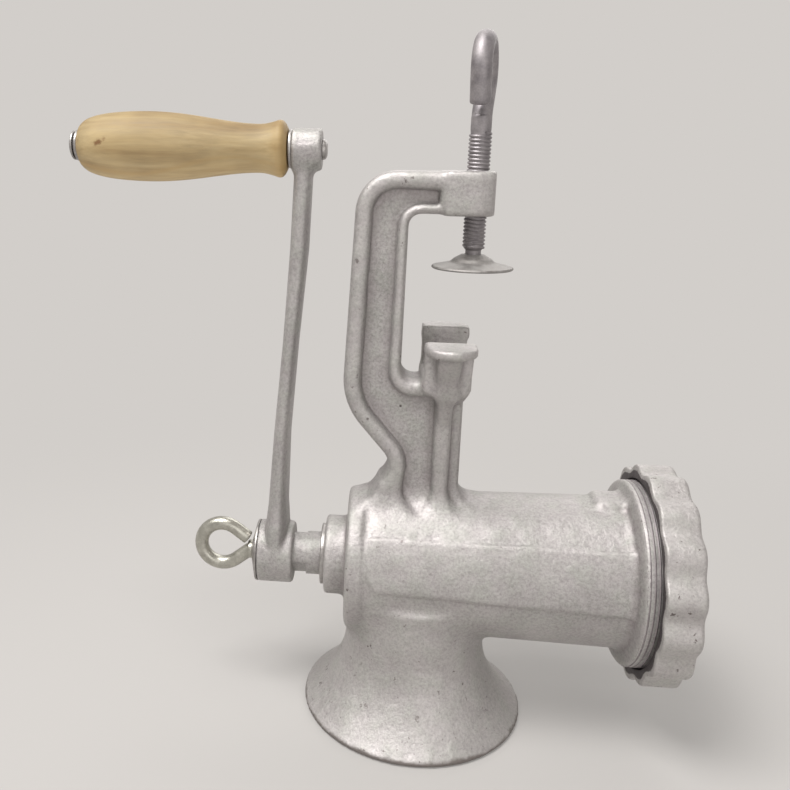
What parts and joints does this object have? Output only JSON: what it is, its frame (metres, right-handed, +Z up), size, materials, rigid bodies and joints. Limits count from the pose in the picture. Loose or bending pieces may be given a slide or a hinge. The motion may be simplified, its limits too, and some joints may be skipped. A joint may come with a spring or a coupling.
{
  "type": "hand crank meat grinder",
  "caption": "Cast hand crank meat grinder with a clamp frame, flared hopper, screw-on ring nut and turned wooden handle, standing on its hopper rim.",
  "frame": {"origin": "centre of the hopper's mouth, on the plane of its rim, on which the grinder stands upside down", "axes": "+X along the barrel from the crank to the ring nut, +Z up from the hopper's rim towards the clamp screw's eye, +Y to the far side of the barrel"},
  "size_m": [0.2794, 0.106, 0.315],
  "materials": {
    "tinned_casting": "satin tinned, sand-cast grain",
    "bush_metal": "turned",
    "fibre": "matt fibre",
    "plated_steel": "dull plated",
    "blade_steel": "ground",
    "dark_thread_steel": "dark drawn",
    "zinc_wire": "zinc plated",
    "pale_wood": "turned and sanded"
  },
  "bodies": {
    "body": {"body_casting": "tinned_casting", "rear_bush": "bush_metal", "thrust_washer": "fibre", "plate_pin": "plated_steel"},
    "crank": {"auger": "tinned_casting", "auger_stud": "plated_steel", "knife": "blade_steel", "crank_arm": "tinned_casting", "handle_spindle": "plated_steel", "handle_outer_washer": "plated_steel", "handle_inner_washer": "plated_steel"},
    "grip": {"handle_grip": "pale_wood"},
    "crank_washer": {"crank_cup_washer": "plated_steel"},
    "crank_screw": {"eye_screw": "zinc_wire"},
    "plate": {"grinding_plate": "blade_steel"},
    "ring": {"ring_nut": "tinned_casting"},
    "pad": {"clamp_pad": "plated_steel"},
    "screw": {"clamp_screw": "dark_thread_steel"}
  },
  "joints": [
    {"name": "crank_turn", "type": "hinge", "parent": "body", "child": "crank", "pos_m": [-0.06, 0, 0.075], "axis": [1, 0, 0], "continuous": true},
    {"name": "grip_spin", "type": "hinge", "parent": "crank", "child": "grip", "pos_m": [-0.11, 0, 0.2655], "axis": [1, 0, 0], "continuous": true},
    {"name": "crank_washer_slide", "type": "slide", "parent": "crank", "child": "crank_washer", "axis": [-1, 0, 0], "range_m": [0, 0.01]},
    {"name": "crank_screw_turn", "type": "hinge", "parent": "crank_washer", "child": "crank_screw", "pos_m": [-0.09, 0, 0.075], "axis": [-1, 0, 0], "range_deg": [0, 2890]},
    {"name": "plate_slide", "type": "slide", "parent": "body", "child": "plate", "axis": [1, 0, 0], "range_m": [0, 0.0101]},
    {"name": "ring_turn", "type": "hinge", "parent": "plate", "child": "ring", "pos_m": [0.11, 0, 0.075], "axis": [1, 0, 0], "range_deg": [0, 1800]},
    {"name": "pad_slide", "type": "slide", "parent": "body", "child": "pad", "axis": [0, 0, -1], "range_m": [-0.016, 0.0224]},
    {"name": "clamp_turn", "type": "hinge", "parent": "pad", "child": "screw", "pos_m": [0.017, 0, 0.25], "axis": [0, 0, -1], "range_deg": [-3610, 5050]}
  ],
  "couplings": [
    {"joint": "crank_screw_turn", "follows": "crank_washer_slide", "rad_per_m": 5026.5},
    {"joint": "plate_slide", "follows": "ring_turn", "m_per_rad": 0.00031831},
    {"joint": "clamp_turn", "follows": "pad_slide", "rad_per_m": 3927}
  ]
}
